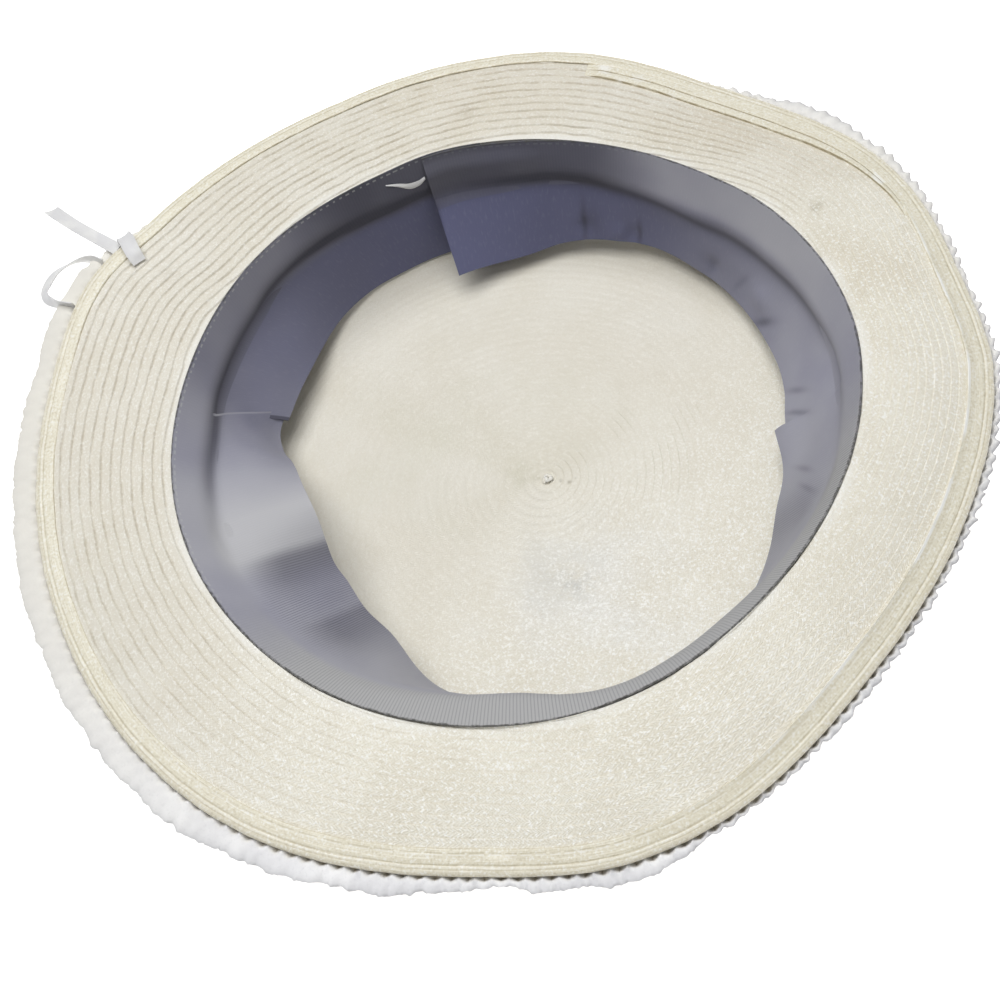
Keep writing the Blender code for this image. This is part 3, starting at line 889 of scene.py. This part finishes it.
def bandLine(angle):
    # the ribbon's outer face from the seam to the loose edge at one angle: (radius, height, lean)
    if angle in bandLines:
        return bandLines[angle]
    shape = bandShape
    reach, upper, fold, bend, width, layer = (openTable(bandTable, column, angle) for column in range(1, 7))
    pieces = 3
    count = shape["across"] * pieces
    length = width / count

    def leanAt(along, lower):
        if along < bend:
            return upper + (fold - upper) * ease(along, bend - 5.5, bend - 0.5)
        return fold + (lower - fold) * ease(along, bend + 0.3, bend + 4.5)

    # the lean below the crease that brings the loose edge to its place
    low, high = -20, 86
    for _ in range(14):
        lower = (low + high) / 2
        tilts = [radians(leanAt((n + 0.5) * length, lower)) for n in range(count)]
        if sum(length * sin(tilt) for tilt in tilts) > reach:
            high = lower
        else:
            low = lower
    radius = station(angle)[0] - (shape["gap"] + 0.4 * layer) * mm
    height = crownDepth + shape["proud"]
    lowest = strawWall + shape["clearance"]
    line = [(radius, height, tilts[0])]
    for n, tilt in enumerate(tilts):
        radius -= length * mm * sin(tilt)
        height = max(height - length * mm * cos(tilt), lowest)
        if n % pieces == pieces - 1:
            away = ease(n * length, 0, 5)
            off = shape["gap"] + 0.4 * away + layer * (0.4 + 0.6 * away)
            radius = min(radius, crownRadius(angle, height, strawWall) - off * mm)
            line.append((radius - 0.6 * layer * away * mm, height, tilt))
    bandLines[angle] = line
    return line


def bump(value, middle, width):
    return exp(-((value - middle) / width) ** 2)


def between(value, rise, full, fall, gone):
    return ease(value, rise, full) * (1 - ease(value, fall, gone))


def bandMasks(angle, base, along):
    # dark: painted shade in the crease, on the top of the far wall and the upper left wall, in hollows and
    # folds;
    # blue: bluer painted shade below the far crease
    crease = openTable(creaseTable, 1, angle) * bump(along, openTable(bandTable, 4, angle) + 0.6, 2.3)
    far = max(ease(angle, 400, 420), 1 - ease(angle, 100, 122)) * (1 - ease(along, 10, 16))
    side = 0.35 * between(angle, 95, 118, 140, 172) * (1 - 0.6 * ease(along, 10, 14))
    hollow = 0.66 * between(base, 189.5, 193, 194, 208) * ease(along, 10, 24)
    hollow += 0.56 * between(base, 208.5, 211.5, 214, 227) * ease(along, 11, 25)
    hollow += 0.25 * bump(base, 322, 5) * ease(along, 10, 20)
    for at, distance, sizeAcross, sizeAlong, amount, slant in folds:
        away = radians(angle - at) * bandShape["meanRadius"] / mm - slant * (along - distance)
        if abs(away) < 4 * sizeAcross:
            hollow += amount * bump(away, 0, sizeAcross) * bump(along, distance, sizeAlong)
    # pale paints light on the left part's swells and, below, on the right wall's upper strip; neutral paints
    # a lighter, neutral grey on the near strip, which faces the light
    near = between(base, 196, 222, 322, 350)
    strip = near * (1 - ease(along, 8, 11))
    pale = 0.85 * bump(base, 186, 8) * ease(along, 5, 12) + 0.45 * between(base, 164, 178, 188, 198)
    ribbed = 0.05 + 0.95 * bump(base, 206, 12) * ease(along, 9, 15) + 0.6 * strip + 0.5 * bump(base, 322, 10)
    return {
        "dark": clamp(0.8 * crease + 0.80 * far + side + hollow),
        "blue": openTable(creaseTable, 2, angle) * ease(along, 10, 16),
        "pale": pale + 0.55 * bump(base, 376, 22) * (1 - ease(along, 9, 13)),
        "ribbed": clamp(ribbed),
        "neutral": 0.30 * near + 0.70 * strip,
        "stitched": 0.10 + 0.40 * between(base, 84, 95, 185, 210),
    }


def makeSweatband():
    shape = bandShape
    across = shape["across"]
    verts, faces = [], []
    for begin, beginLoose, end, endLoose, ahead, early, late in bandRuns:
        span = end - begin
        count = 2 * int(radians(span) * shape["meanRadius"] / shape["ribPitch"])
        start = len(verts)
        for i in range(count + 1):
            share = i / count
            base = begin + span * share
            rib = shape["ribDepth"] * (1 if i % 2 else -1)
            starting = 1 - ease(base, begin + 4, begin + 26)
            ending = ease(base, end - 16, end)
            slant = (beginLoose - begin) * starting + (endLoose - end) * share
            front, back = [], []
            for j in range(across + 1):
                v = j / across
                angle = base + slant * clamp((v - 0.25) / 0.75)
                radius, height, tilt = bandLine(round(max(angle, bandTable[0][0]), 3))[j]
                along = v * openTable(bandTable, 5, angle)
                extra = (early * starting + late * ending) * mm * ease(v, 0.7, 1)
                spot = polar(angle, radius - extra, height)
                lift = ahead * starting * ease(v, 0.28, 0.42)
                lift += openTable(swellTable, 1, base) * ease(v, 0.25, 0.75)
                lift += 0.45 * bumpy(spot, 13 * mm, 2) * ease(v, 0.1, 0.5)
                for at, distance, size, rise in pinches:
                    away = radians(angle - at) * shape["meanRadius"] / mm
                    lift += rise * exp(-(away**2 + (along - distance) ** 2) / size**2)
                normal = polar(angle, -cos(tilt), sin(tilt))
                found = bandMasks(angle, base, along)
                # painted shade where this run's end goes under the next run
                if ahead == 0 and i > count - 4 and v > 0.82:
                    found["dark"] = 0.8      # its end goes under the next run
                # painted light on the next run's cut end
                if ahead > 0 and i < 2 and v > 0.3:
                    found["pale"] = 0.5      # the next run's cut end
                    found["dark"] = 0
                amounts = [found[key] for key in bandMaskNames]
                corner = (radians(base) * shape["meanRadius"], along * mm)
                thick = shape["thick"] + rib * found["ribbed"]
                front.append((spot + normal * (thick + lift * mm), corner, amounts))
                if j % shape["backEvery"] == 0:
                    back.append((spot + normal * lift * mm, corner, amounts))
            for where, corner, amounts in front + back[::-1]:
                where.z = max(where.z, strawWall + 0.5 * mm)
                verts.append((where, corner, amounts))
        faces += gridFaces(count + 1, across + 1 + len(back), start, capped=True)
    material = ribbonMaterial("grosgrain")
    return meshPiece("sweatbandRibbon", verts, faces, material, bandMaskNames, sharp=60, merge=0)


# angle, distance from the seam in millimetres and width of a white sliver of backing beside the loose end
sliverTable = [(89.4, 6.4, 1.1), (90.6, 7.2, 1.6), (92.6, 7, 1.9), (94.6, 5.2, 1.2), (96.8, 3.4, 0.2)]


def makeSliver():
    steps = 24
    first, last = sliverTable[0][0], sliverTable[-1][0]
    verts = []
    for i in range(steps + 1):
        angle = first + (last - first) * i / steps
        along, wide = (openTable(sliverTable, column, angle) for column in (1, 2))
        line = bandLine(round(angle, 3))
        for side in (-1, 0, 1):
            away = along + side * wide / 2
            at = clamp(away / (bandShape["width"] / mm)) * bandShape["across"]
            (radius, height, _), (nextRadius, nextHeight, _) = line[int(at):int(at) + 2]
            radius += (nextRadius - radius) * (at - int(at))
            height += (nextHeight - height) * (at - int(at))
            spot = polar(angle, radius - bandShape["thick"] - (0.2 if side else 0.55) * mm, height)
            verts.append((spot, (spot.x, spot.y)))
    faces = gridFaces(steps + 1, 3, closed=False)
    return meshPiece("whiteSliver", verts, faces, satinMaterial("sliverCloth"), merge=0)


ruffleShape = {
    "pitch": 3.9 * mm,
    "height": 2.3 * mm,
    "seam": 16 * mm,
    "reach": 7.5 * mm,
    "droop": 0.2 * mm,
    "thick": 0.35 * mm,
    "below": 1.12 * mm,        # from the straw's middle to the tops of the pleats
    "lift": 0.62,              # rise past the edge, as a share of height
    "shade": 0.60,
    "perPleat": 10,
    "across": 16,
}

# angle, reach past the edge band as a share of reach, pleats left at the border, cream, grey painted shade
# along the curled border
ruffleTable = [
    (-170, 0.92, 0.10, 0.6, 0.25), (-145, 0.86, 0.16, 0.2, 0.45), (-128, 0.70, 0.24, 0, 0.5),
    (-114, 0.48, 0.40, 0, 0.4), (-107, 0.24, 0.55, 0, 0.3), (-102, 0.44, 0.50, 0, 0.4),
    (-92, 0.46, 0.50, 0, 0.5), (-88, 0.30, 0.55, 0, 0.6), (-84, 0.16, 0.6, 0, 0.6),
    (-75, 0.16, 0.6, 0, 0.7), (-64, 0.22, 0.75, 0, 0.7), (-45, 0.20, 0.8, 0.1, 0.8),
    (-25, 0.24, 0.8, 0.2, 0.8), (0, 0.22, 0.5, 0.4, 0.6), (20, 0.45, 0.3, 0.5, 0.6),
    (31, 0.64, 0.3, 0.4, 0.8), (40, 0.30, 0.3, 0.5, 0.5), (50, 0.04, 0.2, 0.6, 0.2),
    (112, 0.02, 0.2, 0.6, 0.2), (127, 0.12, 0.15, 0.8, 0.1), (137, 0.70, 0.10, 0.8, 0.1),
    (160, 0.90, 0.08, 0.8, 0.15),
]


def makeRuffle():
    shape = ruffleShape
    pleats = round(2 * pi * (hat["headRadius"] + hat["brimWidth"]) / shape["pitch"])
    per, across = shape["perPleat"], shape["across"]
    chance = random.Random(11)
    ranges = ((0.85, 1.08), (-0.7, 0.7), (-0.45, 0.35))     # size, lean and end of each pleat
    uneven = [[chance.uniform(low, high) for _ in range(pleats)] for low, high in ranges]
    half = Vector((0, 0, shape["thick"] / 2))
    verts = []
    for i in range(pleats * per + 1):
        pleat = (i // per) % pleats
        after = (pleat + 1) % pleats
        phase = (i % per) / per
        mix = ease(phase)
        size, swing, ending = (values[pleat] * (1 - mix) + values[after] * mix for values in uneven)
        sharp = 1 - 4 * abs(phase - 0.5)               # zigzag, its ridges at phase 0 and 1
        rounded = -cos(2 * pi * (phase - 0.5))
        angle = 360 * i / (pleats * per)
        edge = station(angle)[1]
        reach, kept, cream, borderShade = (readTable(ruffleTable, column, angle) for column in range(1, 5))
        outside = polar(angle, 0.12, 0)
        border = (0.25 + 0.75 * kept) * ending + 1.1 * bumpy(outside, 13 * mm, 6) * ease(reach, 0.1, 0.5)
        border += 0.62 * bumpy(outside, 2.4 * mm, 1) + 0.40 * bumpy(outside, 0.9 * mm, 4)
        loose = edge + beadOverhang + shape["reach"] * reach + (border - 0.55 * kept * rounded) * mm
        sewn = edge - shape["seam"]
        line = []
        for j in range(across + 1):
            v = 1 - (1 - j / across) ** 1.25
            radius = sewn + (loose - sewn) * v
            past = (radius - edge - beadOverhang) / mm
            flatter = ease(past, -0.5, 1.9)
            wave = -1 * sharp * (1 - flatter) - 0.9 * rounded * kept * flatter
            base = brimTop(angle, min(radius, edge)) - strawWall / 2 - shape["below"]
            base += shape["height"] * (shape["lift"] * ease(past, -0.8, 0.9) - 0.5) - shape["droop"] * v * v
            turned = angle + swing * 0.3 * ease(past, -1, 3)
            spot = polar(turned, radius, base + wave * shape["height"] / 2 * size)
            spot.z += 0.6 * mm * bumpy(spot, 9 * mm, 8) * flatter
            spot.z -= 0.5 * mm * ease(v, 0.94, 1)
            gloom = (1 - ease(past, -0.6, 0.9)) * ease(-wave, -0.75, 0.75)
            gloom *= 0.15 + 0.85 * ease(-spot.y, 60 * mm, 95 * mm)
            line.append((spot, (shape["shade"] * gloom, borderShade * ease(v, 0.955, 0.995), cream)))
        for shift, part in ((half, line), (-half, line[::-1])):
            verts += [
                (spot + shift, (radians(angle) * 0.126, spot.xy.length), amounts)
                for spot, amounts in part
            ]
    faces = gridFaces(pleats * per + 1, 2 * across + 2)
    return meshPiece("pleatedRuffle", verts, faces, ruffleMaterial("ruffleCloth"), ruffleMasks, sharp=60)


bowShape = {
    "angle": 133,
    "length": 28 * mm,
    "width": 3.9 * mm,
    "thick": 0.35 * mm,
    "across": 4,
    "perRow": 8,               # steps from one row of its table to the next
}

# out from the edge, along it and up, as shares of length; lean is 0 on edge and 90 flat; width share
tieTable = [
    (-0.345, 0.078, 0.036, 90, 1), (-0.255, 0.035, 0.100, 90, 1.1), (-0.105, -0.050, 0.125, 90, 1.15),
    (-0.015, -0.090, 0.112, 90, 1.1), (0.042, -0.110, 0.050, 90, 1), (0.054, -0.113, -0.035, 90, 1),
]
tailTable = [
    (0.018, 0.010, -0.010, 90, 1), (0.280, -0.005, 0.015, 82, 1), (0.600, -0.030, 0.030, 80, 1),
    (1, -0.090, 0.010, 88, 1),
]
loopTable = [
    (0.014, 0.200, -0.030, 0, 1), (0.180, 0.200, -0.045, 0, 1), (0.330, 0.280, -0.050, 35, 1),
    (0.430, 0.440, -0.055, 60, 1), (0.430, 0.610, -0.050, 60, 1), (0.360, 0.710, -0.035, 30, 1),
    (0.190, 0.745, -0.020, 0, 1), (0.014, 0.745, -0.010, 0, 1),
]


def bowSpot(row):
    length = bowShape["length"]
    outside = station(bowShape["angle"])[1] + beadOverhang
    angle = bowShape["angle"] + degrees(length * row[1] / outside)
    edge = station(angle)[1]
    height = brimTop(angle, edge) - strawWall / 2 + length * row[2]
    return polar(angle, edge + beadOverhang + length * row[0], height)


def makeRibbon(name, table, material, slant=0):
    # a thin strip along a smooth line through the table's rows
    rows = [(i, *row) for i, row in enumerate(table)]
    per, wide = bowShape["perRow"], bowShape["across"]
    steps = (len(table) - 1) * per
    line = [[openTable(rows, column, i / per) for column in range(1, 6)] for i in range(steps + 1)]
    spots = [bowSpot(row) for row in line]
    verts = []
    walked = 0
    for i, spot in enumerate(spots):
        ahead = (spots[min(i + 1, steps)] - spots[max(i - 1, 0)]).normalized()
        if i:
            walked += (spot - spots[i - 1]).length
        flat = Vector((-ahead.y, ahead.x, 0)).normalized()
        turn = radians(line[i][3])
        side = flat * sin(turn) - flat.cross(ahead) * cos(turn)
        face = side.cross(ahead).normalized()
        width = bowShape["width"] * line[i][4]
        for sign in (1, -1):
            for j in range(wide + 1):
                s = (j / wide - 0.5) * sign
                cup = 0.10 * width * (1 - 4 * s * s) - 0.05 * width + sign * bowShape["thick"] / 2
                where = spot + side * (s * width) + face * cup
                if i == steps:
                    where += ahead * (slant * width * s)
                verts.append((where, (s * width, walked)))
    faces = gridFaces(steps + 1, 2 * wide + 2, capped=True)
    return meshPiece(name, verts, faces, material, merge=0)


def place(piece, slot, *nodes):
    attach(piece, "root")
    if nodes:
        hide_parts(*nodes)
    print("placed", piece.name, len(piece.data.polygons), "faces")
    return piece


place(makeBrim(), "brim", "brim")
place(makeCrown(), "crown_tip", "crown_tip", "crown_side")
place(makeKnot(), "crown_tip")
place(makeEdgeBand(), "edge_binding", "edge_binding")
place(makeEndLap(), "brim")
band = place(makeSweatband(), "sweatband", "sweatband")
place(makeSliver(), "sweatband")
ruffle = place(makeRuffle(), "ruffle", "ruffle")
satin = satinMaterial("satinRibbon")
place(makeRibbon("bowTie", tieTable, satin), "bow_tie", "bow_tie")
place(makeRibbon("bowTail", tailTable, satin, 0.5), "bow_tail", "bow_tail")
place(makeRibbon("bowLoop", loopTable, satin), "bow_loop", "bow_loop")


stageLook = {
    "floor": (0.93, 0.93, 0.93),
    "floorGlow": 0.75,
    "floorSize": 6,
    "floorHeight": -0.2 * mm,
    "world": 0.20,
    "aim": (0, 0, 0.02),
    # name, place, size, power
    "lights": (("key", (-0.08, 0.17, 0.90), 0.80, 7.2), ("fill", (0.45, -0.5, 0.75), 0.9, 0.9)),
}


def makeFloor():
    mesh = bpy.data.meshes.new("floor")
    half, height = stageLook["floorSize"] / 2, stageLook["floorHeight"]
    corners = [(x * half, y * half, height) for x, y in ((-1, -1), (1, -1), (1, 1), (-1, 1))]
    mesh.from_pydata(corners, [], [(0, 1, 2, 3)])
    material = newMaterial("paleFloor")
    setInputs(material.node_tree.nodes["Principled BSDF"], {
        "Base Color": stageLook["floor"],
        "Roughness": 0.9,
        "Emission Color": (1, 1, 1),
        "Emission Strength": stageLook["floorGlow"],
    })
    mesh.materials.append(material)
    addObject("floor", mesh)


def makeLight(name, spot, size, power):
    data = bpy.data.lights.new(name, "AREA")
    data.shape = "DISK"
    data.size = size
    data.energy = power
    lamp = addObject(name, data)
    lamp.location = spot
    lamp.rotation_euler = (Vector(stageLook["aim"]) - Vector(spot)).to_track_quat("-Z", "Y").to_euler()


def makeWorld():
    world = bpy.data.worlds.new("studio")
    world.use_nodes = True
    back = world.node_tree.nodes["Background"]
    setInputs(back, {"Color": (1, 1, 1), "Strength": stageLook["world"]})
    bpy.context.scene.world = world


cameraLook = {
    "down": 57.83,             # degrees below the horizon
    "roll": -0.3338,
    "target": (-8.79 * mm, -26.51 * mm, 39 * mm),
    "distance": 473.1 * mm,
    "focal": 1.9221,           # as a share of the picture's width
    "sensor": 36,
}


def makeCamera():
    look = cameraLook
    tilt, roll = radians(look["down"]), look["roll"]
    forward = Vector((0, cos(tilt), -sin(tilt)))
    right = Vector((1, 0, 0))
    up = right.cross(forward)
    axisX = right * cos(roll) + up * sin(roll)
    axisY = up * cos(roll) - right * sin(roll)
    data = bpy.data.cameras.new("photoCamera")
    data.sensor_width = look["sensor"]
    data.lens = look["focal"] * look["sensor"]
    data.clip_start = 0.01
    data.clip_end = 20
    camera = addObject("photoCamera", data)
    turn = Matrix((axisX, axisY, -forward)).transposed()
    spot = Vector(look["target"]) - forward * look["distance"]
    camera.matrix_world = Matrix.Translation(spot) @ turn.to_4x4()
    bpy.context.scene.camera = camera


makeFloor()
makeWorld()
for light in stageLook["lights"]:
    makeLight(*light)
makeCamera()
bpy.context.scene.view_settings.view_transform = "Standard"
print("stage, lights and camera set")
